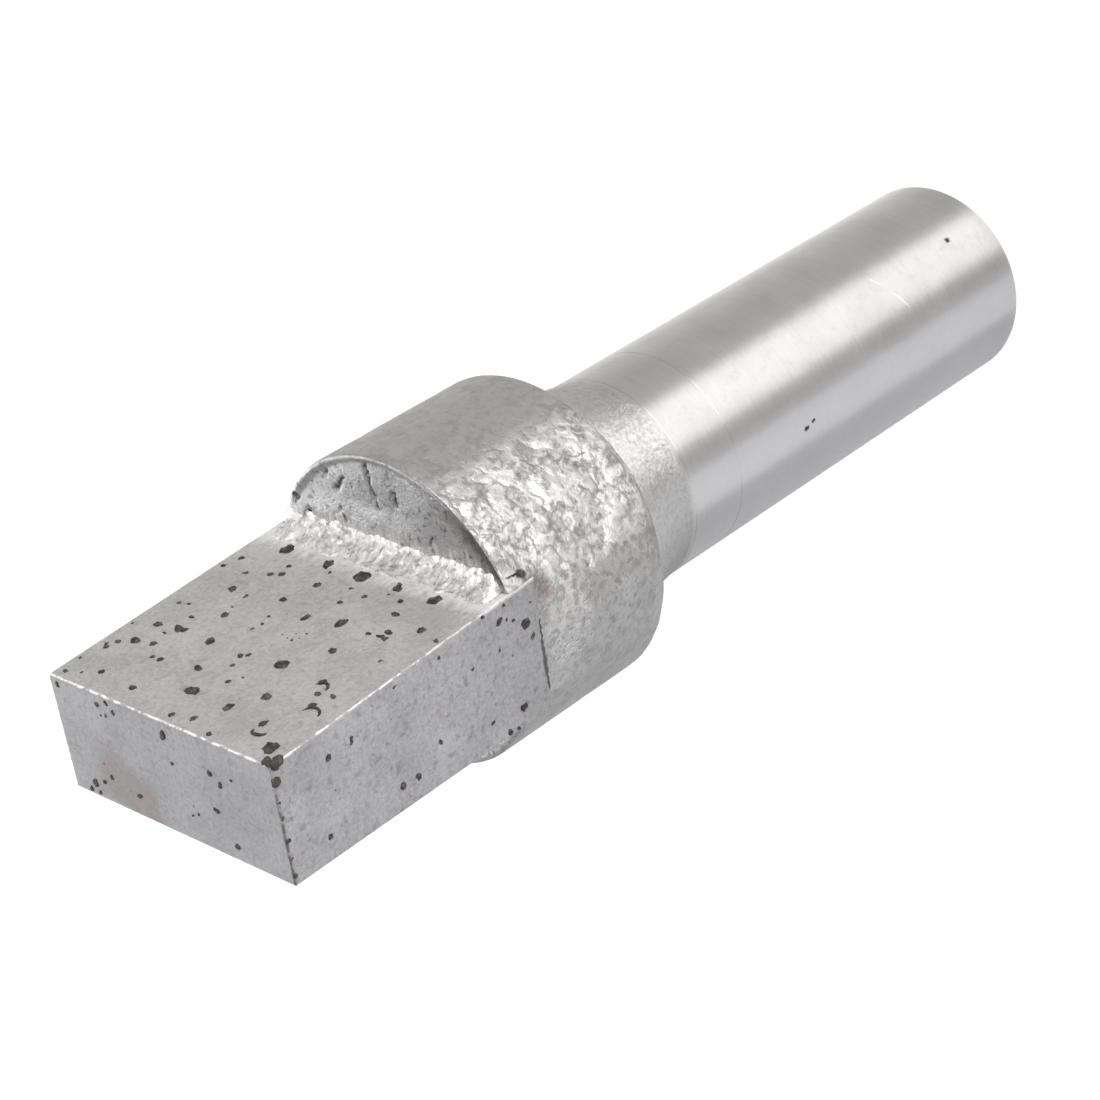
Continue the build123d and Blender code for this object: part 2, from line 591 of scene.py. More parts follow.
    def surface(self, **sockets) -> bpy.types.Material:
        """Adds the shader and ends the material.

        Args:
            **sockets: Principled sockets, with _ for a space.

        Returns:
            The material.
        """
        links = {key.replace("_", " "): value for key, value in sockets.items()}
        shader = self.node("ShaderNodeBsdfPrincipled", links)
        self.tree.links.new(shader.outputs["BSDF"], self.output.inputs["Surface"])
        return self.material


MOON_CRACKS = tuple(
    Streak((x, y, HEAD_FRONT), (to_x, to_y, HEAD_FRONT), reach)
    for x, y, to_x, to_y, reach in (
        (0.85, -6.7, 0.72, -5.6, 0.10),
        (0.72, -5.6, 0.42, -4.7, 0.08),
        (-0.6, -5.7, -0.7, -5.2, 0.10),
        (2.4, -5.75, 3.0, -5.15, 0.10),
        (3.4, -5.9, 3.5, -5.7, 0.08),
        (5.75, -4.3, 5.6, -4.1, 0.12),
        (4.8, -3.75, 5.3, -3.2, 0.11),
        (2.8, -4.3, 2.5, -3.8, 0.06),
        (-2.9, -4.4, -2.6, -3.9, 0.07),
    )
)
NEAR_JOINT = tuple(
    Streak((-BAR_SIDE, y, z), (-BAR_SIDE, to_y, to_z), reach)
    for y, z, to_y, to_z, reach in (
        (-0.80, 37.25, 0.20, 37.28, 0.05),
        (0.20, 37.28, 0.95, 37.32, 0.09),
        (0.95, 37.32, 1.70, 37.30, 0.11),
        (1.70, 37.30, 2.45, 37.30, 0.06),
    )
)


def near_joint(sheet: Sheet, ragged: float) -> Socket:
    """The joint line on the near flank, made ragged by this many millimetres."""
    inside = sheet.in_any(NEAR_JOINT, sheet.wobbled(4.0, ragged))
    return sheet.product(inside, sheet.span(sheet.x, -6.7, -6.6, 1.0, 0.0))


@dataclass(frozen=True)
class CastSkin:
    """Rough bright skin of the cast head, with dark pores and marks at known places."""

    name: str = "cast_skin"
    # The dark colour serves the wrinkles' dark tone and also painted shade by angle and in the
    # creases.
    dark: Triple = (0.27, 0.262, 0.255)
    light: Triple = (0.76, 0.75, 0.735)
    # Painted shade colours: the first for the crown, the second for the near flank and the shoulder.
    painted_crown_shade: Triple = (0.345, 0.335, 0.325)
    painted_calm_shade: Triple = (0.37, 0.364, 0.368)
    moon: Triple = (0.44, 0.436, 0.44)
    moon_dark: Triple = (0.27, 0.265, 0.26)
    # Dark colour of the half-moons' pits and of the painted shade inside their lip.
    pits_and_painted_shade: Triple = (0.11, 0.102, 0.096)
    braze: Triple = (0.92, 0.91, 0.90)
    black: Triple = (0.05, 0.045, 0.04)
    # A darker brown patch on the flank below the bar's foot.
    flank_brown: Triple = (0.22, 0.185, 0.16)
    flank_brown_patch: Streak = Streak((-6.9, -2.7, 37.3), (-7.0, -2.0, 36.7), 0.50)
    root_marks: tuple[Streak, ...] = (
        Streak((-6.62, -3.10, 37.62), (-6.60, -3.14, 37.78), 0.17),
        Streak((-6.58, -3.15, 37.73), (-6.52, -3.28, 38.45), 0.06),
    )

    def side_color(self, sheet: Sheet, wrinkles: Socket, patches: Socket) -> Socket:
        """Colour of the head's side: painted shade on the near flank, the shoulder, below the flank
        and on the crown, which leaves the band between them bright as a painted highlight.

        Args:
            sheet: The material's node tree.
            wrinkles: Noise of the wrinkles.
            patches: Wider noise.

        Returns:
            The colour.
        """
        angle = sheet.angle
        below = sheet.span(sheet.z, 31.6, 30.2)
        shoulder = sheet.product(below, sheet.span(angle, 0.25, 0.5, 1.0, 0.1))
        painted_calm_shade = sheet.math("MAXIMUM", sheet.span(angle, 0.3, 0.0), shoulder)
        flank = sheet.band(angle, -0.35, -0.2, 0.3, 0.45)
        painted_shade_band = sheet.band(angle, 0.0, 0.12, 0.24, 0.34)
        crown = sheet.band(angle, 1.0, 1.2, 2.1, 2.4)
        specks = sheet.span(sheet.noise(3.0, 3.0), 0.37, 0.46, 1.0, 0.0)
        # Painted light by angle round the axis: shade on the near flank, the shoulder, below the
        # flank, in a low band and on the crown; the band between them stays bright as a painted
        # highlight.
        return sheet.coats(
            sheet.blend(sheet.span(wrinkles, 0.38, 0.58), self.dark, self.light),
            (sheet.span(patches, 0.42, 0.62), 0.7, self.light),
            (painted_calm_shade, 0.75, self.painted_calm_shade),
            (sheet.span(angle, -0.35, -0.6), 0.5, self.dark),
            (painted_shade_band, 0.5, self.dark),
            (sheet.product(specks, flank), 0.7, self.dark),
            (crown, 0.85, self.painted_crown_shade),
        )

    def creases(self, sheet: Sheet, face: Socket) -> Socket:
        """Fold lines in the skin between flank and crown.

        Args:
            sheet: The material's node tree.
            face: 1 on the head's front.

        Returns:
            The mask.
        """
        edges = sheet.cells(0.8, "DISTANCE_TO_EDGE", sheet.wobbled(0.9, 0.7))
        return sheet.product(
            sheet.span(edges, 0.0, 0.15, 1.0, 0.0),
            sheet.span(sheet.noise(0.7, 2.0, 0.5, 0.6), 0.44, 0.54),
            sheet.span(sheet.angle, 0.1, 0.5, 0.2, 1.0),
            sheet.span(sheet.angle, 1.1, 1.5, 1.0, 0.3),
            sheet.math("SUBTRACT", 1.0, face),
        )

    def front_color(
        self, sheet: Sheet, color: Socket, face: Socket, wrinkles: Socket, radius: Socket
    ) -> Socket:
        """Lays the half-moons' colour over the skin: pits, braze film and a painted shade crescent
        inside the lip.

        Args:
            sheet: The material's node tree.
            color: Colour of the skin.
            face: 1 on the head's front.
            wrinkles: Noise of the wrinkles.
            radius: Distance from the axis, in millimetres.

        Returns:
            The colour.
        """
        pits = sheet.span(sheet.noise(3.4, 3.0), 0.34, 0.42, 1.0, 0.0)
        streaks = sheet.span(sheet.drawn((4.5, 1.2, 4.5), 4.0, 0.7), 0.3, 0.7, -0.7, 0.7)
        film = sheet.span(sheet.math("ADD", sheet.up, streaks), 3.1, 3.9, 1.0, 0.0)
        film = sheet.product(film, sheet.span(sheet.up, 0.0, 1.0), face)
        wobble = sheet.span(wrinkles, 0.35, 0.65, -0.25, 0.25)
        lip = sheet.span(sheet.math("ADD", radius, wobble), 6.3, 7.1)
        # Painted shade: a dark crescent just inside the lip, on the near part of the arc.
        inner = sheet.product(lip, sheet.band(sheet.angle, 0.36, 0.45, 0.80, 1.12), face)
        dark_share = sheet.span(wrinkles, 0.36, 0.52, 0.5, 0.0)
        return sheet.coats(
            color,
            (face, 1.0, sheet.blend(dark_share, self.moon, self.moon_dark)),
            (sheet.product(pits, face), 0.65, self.pits_and_painted_shade),
            (film, 0.5, self.braze),
            (inner, 0.9, self.pits_and_painted_shade),
        )

    def marked(self, sheet: Sheet, color: Socket) -> Socket:
        """Lays the marks at known places over the colour: cracks, a brown patch on the flank, root
        and joint.

        Args:
            sheet: The material's node tree.
            color: The colour below.

        Returns:
            The colour.
        """
        ragged = sheet.wobbled(4.0, 0.13)
        links = {"Vector": ragged, "Location": (0.0, 0.0, HEAD_FRONT), "Scale": (1.0, 1.0, 0.0)}
        flat = sheet.node("ShaderNodeMapping", links).outputs["Vector"]
        broken = sheet.span(sheet.noise(5.0, 3.0, 0.7), 0.40, 0.54, 0.15, 0.85)
        above = sheet.span(sheet.z, 38.0, 38.1)
        cracks = sheet.product(sheet.in_any(MOON_CRACKS, flat), above, broken)
        return sheet.coats(
            color,
            (cracks, 1.0, self.black),
            (sheet.in_any((self.flank_brown_patch,), sheet.wobbled(2.0, 0.4)), 0.75, self.flank_brown),
            (sheet.in_any(self.root_marks, ragged), 1.0, self.black),
            (near_joint(sheet, 0.13), 0.85, self.black),
        )

    def make(self) -> bpy.types.Material:
        """Makes the material.

        Returns:
            The material.
        """
        sheet = Sheet(self.name)
        squares = sheet.total((sheet.x, sheet.x), (sheet.y, sheet.y))
        radius = sheet.math("SQRT", squares)
        inside_lip = sheet.span(radius, 7.12, 7.2, 1.0, 0.0)
        dish = sheet.product(sheet.span(sheet.z, 38.1, 38.2), inside_lip)
        face = sheet.math("MAXIMUM", sheet.span(sheet.z, 38.62, 38.72), dish)
        wrinkles = sheet.noise(2.4, 5.0, 0.62, 0.8)
        patches = sheet.noise(0.9, warp=1.2)
        grain = sheet.noise(8.0, 3.0, 0.7)
        pores = sheet.span(sheet.cells(2.1), 0.04, 0.2)
        creases = self.creases(sheet, face)
        # The creases are real folds, painted dark as the shade in them.
        color = sheet.coats(
            self.side_color(sheet, wrinkles, patches),
            (creases, 0.75, self.dark),
            (sheet.span(pores, 0.0, 1.0, 1.0, 0.0), 0.45, self.dark),
        )
        color = self.front_color(sheet, color, face, wrinkles, radius)
        return sheet.surface(
            Base_Color=self.marked(sheet, color),
            Metallic=1.0,
            Roughness=sheet.span(patches, 0.40, 0.60, 0.48, 0.34),
            Normal=sheet.bumps((wrinkles, 0.020), (creases, -0.022), (pores, 0.02), (grain, 0.03)),
        )


@dataclass(frozen=True)
class TurnedSteel:
    """Fine turned steel of the shank, which spreads light along its axis."""

    name: str = "turned_steel"
    dark: Triple = (0.535, 0.517, 0.505)
    light: Triple = (0.615, 0.598, 0.585)
    # The cool colour is a painted reflection on the near low side; the shade colour is painted shade
    # on the neck's low side as well as darker patches; the white colour is a painted highlight on
    # the rim and the neck as well as the scratches' colour.
    cool_painted_reflection: Triple = (0.655, 0.655, 0.68)
    shade: Triple = (0.40, 0.39, 0.38)
    white: Triple = (0.98, 0.98, 0.97)
    black: Triple = (0.06, 0.055, 0.05)
    scratches: tuple[Streak, ...] = (
        Streak((-2.97, -4.02, 9.1), (-3.94, -3.08, 8.4), 0.04),
        Streak((-3.94, -3.08, 8.4), (-4.35, -2.47, 8.1), 0.03),
    )
    pits: tuple[Streak, ...] = (
        Streak((-3.21, -3.83, 3.20), (-3.21, -3.83, 3.28), 0.12),
        Streak((-5.0, -0.21, 17.15), (-5.0, -0.21, 17.3), 0.10),
        Streak((-4.99, -0.37, 16.65), (-4.99, -0.34, 16.75), 0.08),
    )

    def make(self) -> bpy.types.Material:
        """Makes the material.

        Returns:
            The material.
        """
        sheet = Sheet(self.name)
        lines = sheet.drawn((0.3, 0.3, 10), 6.0, 0.75)
        clouds = sheet.noise(0.45, 5.0)
        grain = sheet.noise(7.0, 3.0, 0.7)
        rubbed = sheet.noise(4.5, 5.0, 0.75)
        patches = sheet.span(sheet.noise(1.3, 6.0, 0.8), 0.52, 0.64)
        tone = sheet.total((lines, 0.5), (clouds, 0.5))
        angle = sheet.angle
        neck = sheet.span(sheet.z, 25.3, 25.6)
        # The lit band, and the low side and underside of the neck, which take painted highlight and
        # painted shade.
        band = sheet.band(angle, 0.25, 0.6, 0.85, 1.15)
        under_painted_shade = sheet.span(angle, -0.3, -0.5)
        low = sheet.total((sheet.span(angle, 0.45, 0.1), 0.35), (under_painted_shade, 0.5))
        # Painted light by angle round the axis: a cool painted reflection on the near low side, a
        # white painted highlight past the top toward the far side, and on the neck a painted
        # highlight in the lit band and painted shade on its low side and underside.
        color = sheet.coats(
            sheet.blend(sheet.span(tone, 0.38, 0.62), self.dark, self.light),
            (sheet.span(angle, 0.4, 0.25), 0.6, self.cool_painted_reflection),
            (sheet.span(angle, 1.75, 2.0), 0.5, self.white),
            (sheet.product(patches, band), 0.28, self.shade),
            (sheet.product(neck, band, sheet.span(rubbed, 0.40, 0.62)), 0.3, self.white),
            (sheet.product(neck, low), 1.0, self.shade),
            (sheet.product(neck, sheet.span(rubbed, 0.54, 0.38)), 0.6, self.shade),
            (sheet.in_any(self.scratches, sheet.wobbled(2.0, 0.05)), 0.5, self.white),
            (sheet.in_any(self.pits, sheet.wobbled(5.0, 0.06)), 1.0, self.black),
        )
        cast_grain = sheet.product(grain, sheet.span(neck, 0.0, 1.0, 0.12, 1.0))
        tangent = sheet.node("ShaderNodeTangent", direction_type="RADIAL", axis="Z")
        return sheet.surface(
            Base_Color=color,
            Metallic=1.0,
            Roughness=0.44,
            Anisotropic=1.0,
            Anisotropic_Rotation=0.25,
            Tangent=tangent.outputs["Tangent"],
            Normal=sheet.bumps((lines, 0.007), (cast_grain, 0.04)),
        )


@dataclass(frozen=True)
class GroundMatrix:
    """Ground sintered metal of the bar: satin, with fine marks across its thickness."""

    name: str = "ground_matrix"
    # One colour pair per face, with shade painted per face: the near side darkest, the front
    # lightest; the second of each pair is the light end of its random tone.
    broad: Triple = (0.300, 0.292, 0.282)
    broad_light: Triple = (0.395, 0.386, 0.374)
    near: Triple = (0.255, 0.250, 0.258)
    near_light: Triple = (0.355, 0.349, 0.358)
    front: Triple = (0.335, 0.329, 0.341)
    front_light: Triple = (0.455, 0.448, 0.461)
    bright: Triple = (0.90, 0.89, 0.88)
    root_painted_light: Triple = (0.50, 0.495, 0.485)
    film: Triple = (0.66, 0.65, 0.635)
    fleck: Triple = (0.105, 0.10, 0.098)
    brown: Triple = (0.275, 0.24, 0.215)
    edge_dark: Triple = (0.09, 0.083, 0.076)
    black: Triple = (0.035, 0.032, 0.03)
    # Worn top edges; the bright colour on them is a painted highlight.
    edges: tuple[Streak, ...] = (
        Streak((-BAR_SIDE, -1.95, 51.98), (BAR_SIDE, -1.95, 51.98), 0.07),
        Streak((-BAR_SIDE, -1.95, 51.9), (-BAR_SIDE, -2.70, 38.9), 0.06),
    )
    upright: Streak = Streak((-BAR_SIDE, -1.9, BAR_TIP), (-BAR_SIDE, 3.5, BAR_TIP), 0.09)
    stain: Streak = Streak((3.8, 2.1, BAR_TIP), (2.2, 2.9, BAR_TIP), 1.3)

    def face_color(self, sheet: Sheet) -> Socket:
        """Colour of the three faces that show, each with its own painted shade, with clouds, marks
        and mottling.

        Args:
            sheet: The material's node tree.

        Returns:
            The colour.
        """
        x, z = sheet.x, sheet.z
        clouds = sheet.noise(0.45, rough=0.55)
        mottle = sheet.noise(5.0, 5.0, 0.85)
        marks = sheet.drawn((6, 0.5, 6), 5.0, 0.7)
        share = sheet.span(sheet.total((clouds, 0.30), (mottle, 0.55), (marks, 0.15)), 0.43, 0.57)
        over = sheet.math("ADD", sheet.y, sheet.span(z, BAR_FOOT, BAR_TIP, 2.8, 1.93))
        on_broad = sheet.span(over, 0.03, 0.2, 1.0, 0.0)
        streaks = sheet.span(sheet.drawn((4.5, 1.2, 1.2), 4.0, 0.7), 0.3, 0.7, -0.45, 0.45)
        film = sheet.span(sheet.math("ADD", z, streaks), 39.9, 40.8, 1.0, 0.0)
        near_root = sheet.product(sheet.span(x, -6.7, -6.5, 1.0, 0.0), sheet.span(z, 42, 37.5))
        on_near = sheet.span(x, -6.78, -6.70, 1.0, 0.0)
        return sheet.coats(
            # Each face takes its own painted shade.
            sheet.blend(share, self.front, self.front_light),
            (on_near, 1.0, sheet.blend(share, self.near, self.near_light)),
            (on_broad, 1.0, sheet.blend(share, self.broad, self.broad_light)),
            (near_root, 0.25, self.fleck),
            # Painted light on the working face next to the braze.
            (sheet.product(on_broad, sheet.span(z, 42, 39.2)), 0.35, self.root_painted_light),
            (sheet.product(film, on_broad), 0.8, self.film),
            (sheet.in_any((self.stain,), sheet.wobbled(0.8, 0.7)), 0.6, self.brown),
        )

    def make(self) -> bpy.types.Material:
        """Makes the material.

        Returns:
            The material.
        """
        sheet = Sheet(self.name)
        color = self.face_color(sheet)
        sides = sheet.span(sheet.x, -6.78, -6.70, 1.0, 0.55)
        rough_place = sheet.wobbled(5.0, 0.10)
        for per_mm, strength in ((2.6, 0.42), (5.5, 0.40)):
            spots = sheet.noise(per_mm, 2.0, 0.5, place=rough_place)
            spots = sheet.product(sheet.span(spots, 0.28, 0.43, 1.0, 0.0), sides)
            color = sheet.coats(color, (spots, strength, self.fleck))

        # Painted highlight: broken bright lines along the worn top edges, fading toward the root.
        breaks = sheet.span(sheet.noise(2.0, 3.0, 0.7), 0.44, 0.54, 0.1, 1.0)
        fade = sheet.span(sheet.z, 45.5, 43.0, 1.0, 0.55)
        worn = sheet.product(sheet.in_any(self.edges, sheet.wobbled(3.0, 0.06)), breaks, fade)
        line = sheet.in_any((self.upright,), sheet.wobbled(3.0, 0.05))
        dots = sheet.span(sheet.noise(1.6, 2.0), 0.42, 0.54, 0.2, 0.95)
        color = sheet.coats(
            color,
            (worn, 1.0, self.bright),
            (sheet.product(line, dots), 1.0, self.edge_dark),
            (near_joint(sheet, 0.08), 0.85, self.black),
        )
        marks = sheet.drawn((7, 0.45, 7), 5.0, 0.7)
        grain = sheet.noise(9.0, 3.0, 0.7)
        normal = sheet.bumps((marks, 0.006), (grain, 0.012))
        return sheet.surface(Base_Color=color, Metallic=0.2, Roughness=0.62, Normal=normal)


@dataclass(frozen=True)
class BrightBraze:
    """Bright, sugary braze metal, drawn out in streaks away from the bar."""

    name: str = "bright_braze"
    dark: Triple = (0.58, 0.565, 0.55)
    light: Triple = (0.97, 0.96, 0.95)
    pit: Triple = (0.28, 0.27, 0.26)

    def make(self) -> bpy.types.Material:
        """Makes the material.

        Returns:
            The material.
        """
        sheet = Sheet(self.name)
        streaks = sheet.drawn((4.5, 1.4, 1.4), 4.0, 0.65)
        lumps = sheet.noise(3.6, 5.0, 0.65, 0.4)
        grain = sheet.noise(11.0, 3.0, 0.7)
        tone = sheet.total((streaks, 0.6), (lumps, 0.4))
        color = sheet.blend(sheet.span(tone, 0.38, 0.56), self.dark, self.light)
        pits = sheet.span(sheet.noise(4.0, 3.0, 0.7), 0.36, 0.43, 0.75, 0.0)
        color = sheet.blend(pits, color, self.pit)
        normal = sheet.bumps((streaks, 0.025), (lumps, 0.02), (grain, 0.02))
        return sheet.surface(Base_Color=color, Metallic=1.0, Roughness=0.46, Normal=normal)


@dataclass(frozen=True)
class DarkGrit:
    """Dark grey-brown diamond crystal, broken and dull."""

    name: str = "dark_grit"
    dark: Triple = (0.012, 0.010, 0.009)
    light: Triple = (0.085, 0.076, 0.068)
    brown: Triple = (0.060, 0.032, 0.022)
    brown_corner: Streak = Streak((-6.6, -1.9, 51.8), (-6.6, -1.5, 51.8), 0.7)

    def make(self) -> bpy.types.Material:
        """Makes the material.

        Returns:
            The material.
        """
        sheet = Sheet(self.name)
        patches = sheet.noise(3.5, rough=0.7)
        color = sheet.blend(sheet.span(patches, 0.46, 0.64), self.dark, self.light)
        corner = sheet.in_any((self.brown_corner,), sheet.place)
        color = sheet.coats(color, (corner, 0.35, self.brown))
        normal = sheet.bumps((sheet.noise(14.0, 2.0), 0.03))
        return sheet.surface(Base_Color=color, Roughness=0.6, Normal=normal)


@dataclass
class Holder:
    """The holder: a cast head and neck with a turned shank, and the slot for the bar.

    Sizes are in millimetres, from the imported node's box and the photo's proportions.
    """

    segments: int = 360
    shank_radius: float = 5.0
    shank_chamfer: float = 0.4
    shank_ring: float = 22.1
    ring_depth: float = 0.03
    ring_half: float = 0.07
    ring_gap: float = 0.7
    neck_foot: float = 25.4
    neck_radius: float = 6.3
    neck_hollow: float = 0.22
    neck_top: float = 29.6
    neck_inset: float = 0.36
    head_back: float = 28.9
    back_run: float = 1.5
    back_steps: int = 14
    rim_chamfer: float = 0.1
    slot_clearance: float = -0.04
    slot_reach: float = 2.0
    slot_lift: float = 0.06
    flank_run: float = 2.8
    flank_end: float = 0.05
    skin_depths: Pair = (1.6, 0.4)
    rim_depths: Pair = (0.02, 0.35)
    crown_start: Pair = (56, 68)
    crown_end: Pair = (140, 120)
    rough_start: Pair = (-6, 24)
    rough_heights: Pair = (30.2, 32.2)
    least_rough: float = 0.2
    crown_calm: float = 0.80
    braze_side: float = 2.7
    braze_foot: float = 0.1
    braze_run: float = 0.9
    face_depths: Pair = (0.4, 0.1)
    dish_lip: Pair = (0.16, 0.48)
    dish_start: Pair = (62, 84)
    dish_side: Pair = (3.6, 5.0)
    dish_reach: float = 0.6
    dish_depth: float = 0.20
    crack_seed: int = 3
    crack_waves: float = 2.5
    crack_ragged: float = 0.12
    crack_gaps: float = 3.5
    crack_open: Pair = (-0.30, 0.05)
    crack_reach: float = 0.8
    crack_depth: float = 0.16
    grid: float = 0.098
    join_overlap: float = 0.3
    smooth_angle: float = 20.0

    def head(self) -> Piece:
        """Models the cast head, with the slot cut and the skin's relief.

        Returns:
            The head.
        """
        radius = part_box("holder")[1][0] / MM
        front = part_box("holder")[1][2] / MM
        inner = self.neck_radius - self.neck_inset
        rings = []
        for step in range(self.back_steps + 1):
            rise = (1 - math.cos(math.pi * step / self.back_steps)) / 2
            height = self.head_back + self.back_run * step / self.back_steps
            rings.append(Ring(inner + (radius - inner) * rise, height))
        rings.append(Ring(radius, front - self.rim_chamfer))
        rings.append(Ring(radius - self.rim_chamfer, front))
        piece = turn("cast_head", rings, self.segments)
        slot = Bar(clearance=self.slot_clearance, reach=self.slot_reach, lift=self.slot_lift)
        carve(piece, slot.block("slot_cutter"))
        even_grid(piece, self.grid)
        self.ease_flanks(piece)
        self.roughen(piece, radius, front)
        self.mark_moons(piece, radius, front)
        return piece

    def ease_flanks(self, piece: Piece) -> None:
        """Eases the head's flanks down to the bar's sides, with no edge between them.

        Args:
            piece: The head.
        """
        bar_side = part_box("diamond_bar")[1][0] / MM
        for vertex in piece.data.vertices:
            place = vertex.co / MM
            proud = abs(place.x) - bar_side
            share = ramp(place.z, BAR_FOOT - self.flank_run, BAR_FOOT - self.flank_end)
            if proud > 0 and share > 0:
                vertex.co.x -= math.copysign(proud * share * MM, place.x)

    def roughen(self, piece: Piece, radius: float, front: float) -> None:
        """Gives the head its cast wrinkles, and its front a finer unevenness.

        Args:
            piece: The head.
            radius: The head's radius.
            front: The height of the head's front.
        """

        def skin_at(place: Vector, normal: Vector) -> float:
            """Weighs the cast wrinkles at one point.

            Args:
                place: The point, in millimetres.
                normal: Which way the skin faces there; not used.

            Returns:
                The share of their depth, from 0 to 1.
            """
            outer = ramp(radius - math.hypot(place.x, place.y), *self.skin_depths)
            below_rim = ramp(front - place.z, *self.rim_depths)
            angle = turned(place)
            crown = ramp(angle, *self.crown_start) * ramp(angle, *self.crown_end)
            side = ramp(angle, *self.rough_start) * ramp(place.z, *self.rough_heights)
            rough = self.least_rough + (1 - self.least_rough) * side
            away = max(abs(place.y) - self.braze_side, BAR_FOOT + self.braze_foot - place.z)
            seat = ramp(away, 0.0, self.braze_run)
            return outer * below_rim * rough * (1 - self.crown_calm * crown) * seat

        def front_at(place: Vector, normal: Vector) -> float:
            """Fades the finer unevenness out below the front."""
            return ramp(front - place.z, *self.face_depths)

        skin = weigh(piece, "skin", skin_at)
        face = weigh(piece, "front", front_at)
        lumps = {"noise_depth": 2, "contrast": 1.5}
        flakes = {"noise_depth": 1, "turbulence": 5.0, "contrast": 1.3}
        fine = {"noise_depth": 2, "noise_type": "HARD_NOISE"}
        Relief("CLOUDS", 1.6, 0.25, 0.62, lumps).press(piece, skin)
        Relief("MARBLE", 1.9, 0.07, 0.7, flakes).press(piece, skin)
        Relief("CLOUDS", 0.45, 0.04, 0.8, fine).press(piece, skin)
        Relief("CLOUDS", 0.9, 0.07, 0.9, {"noise_depth": 3}).press(piece, face)
        hold_round(piece, radius - 0.01)

    def mark_moons(self, piece: Piece, radius: float, front: float) -> None:
        """Sinks the upper half-moon inside its lip, and opens its cracks.

        Args:
            piece: The head.
            radius: The head's radius.
            front: The height of the head's front.
        """

        def dish_at(place: Vector, normal: Vector) -> float:
            """Weighs how far a point sinks with the half-moon.

            Args:
                place: The point, in millimetres.
                normal: Which way the skin faces there; not used.

            Returns:
                The share of the dish's depth, from 0 to 1.
            """
            if place.z < front - self.dish_reach:
                return 0.0
            inside = ramp(radius - math.hypot(place.x, place.y), *self.dish_lip)
            return inside * ramp(turned(place), *self.dish_start) * ramp(-place.y, *self.dish_side)

        def crack_at(place: Vector, normal: Vector) -> float:
            """Weighs how far the cracks are open at one point.

            Args:
                place: The point, in millimetres.
                normal: Which way the skin faces there; not used.

            Returns:
                The share of their depth, from 0 to 1.
            """
            if place.z < front - self.crack_reach:
                return 0.0
            flat = Vector((place.x, place.y, front))
            flat += noise.noise_vector(flat * self.crack_waves) * self.crack_ragged
            open_here = ramp(noise.noise(flat * self.crack_gaps), *self.crack_open)
            return open_here * max(crack.weight(flat) for crack in MOON_CRACKS)

        # Without a seed of its own, noise_vector differs from run to run.
        noise.seed_set(self.crack_seed)
        press_in(piece, weigh(piece, "dish", dish_at), self.dish_depth)
        press_in(piece, weigh(piece, "cracks", crack_at), self.crack_depth)

    def shank(self) -> Piece:
        """Models the turned shank with its two fine ring lines, and the flared neck.

        Returns:
            The shank.
        """
        rings = [Ring(self.shank_radius - self.shank_chamfer, 0)]
        rings += arc_rings(rings[0], Ring(self.shank_radius, self.shank_chamfer), 0.06, 5)
        for groove in (self.shank_ring, self.neck_foot - 0.12):
            below = Ring(self.shank_radius, groove - self.ring_half)
            count = round((below.height - rings[-1].height) / self.ring_gap)
            rings += arc_rings(rings[-1], below, 0.0, count)
            rings.append(Ring(self.shank_radius - self.ring_depth, groove))
            rings.append(Ring(self.shank_radius, groove + self.ring_half))
        foot = Ring(self.shank_radius, self.neck_foot)
        neck_end = Ring(self.neck_radius, self.neck_top)
        rings += [foot, *arc_rings(foot, neck_end, -self.neck_hollow, 44)]
        rings.append(Ring(self.neck_radius - 0.2, self.neck_top + self.join_overlap))
        piece = turn("turned_shank", rings, self.segments)
        make_active(piece)
        bpy.ops.object.shade_smooth_by_angle(angle=math.radians(self.smooth_angle))

        def neck_at(place: Vector, normal: Vector) -> float:
            """Lets the roughness set in above the neck's foot."""
            return ramp(place.z, self.neck_foot, self.neck_foot + 0.5)

        rough = {"noise_depth": 3, "contrast": 1.3}
        neck = weigh(piece, "neck", neck_at)
        Relief("CLOUDS", 0.35, 0.04, settings=rough).press(piece, neck)
        return piece

    def build(self) -> list[Piece]:
        """Builds and dresses the holder.

        Returns:
            Its pieces.
        """
        head = self.head()
        head.data.materials.append(CastSkin().make())
        shank = self.shank()
        shank.data.materials.append(TurnedSteel().make())
        for piece in (head, shank):
            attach(piece, "root")
            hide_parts("holder")
        return [head, shank]


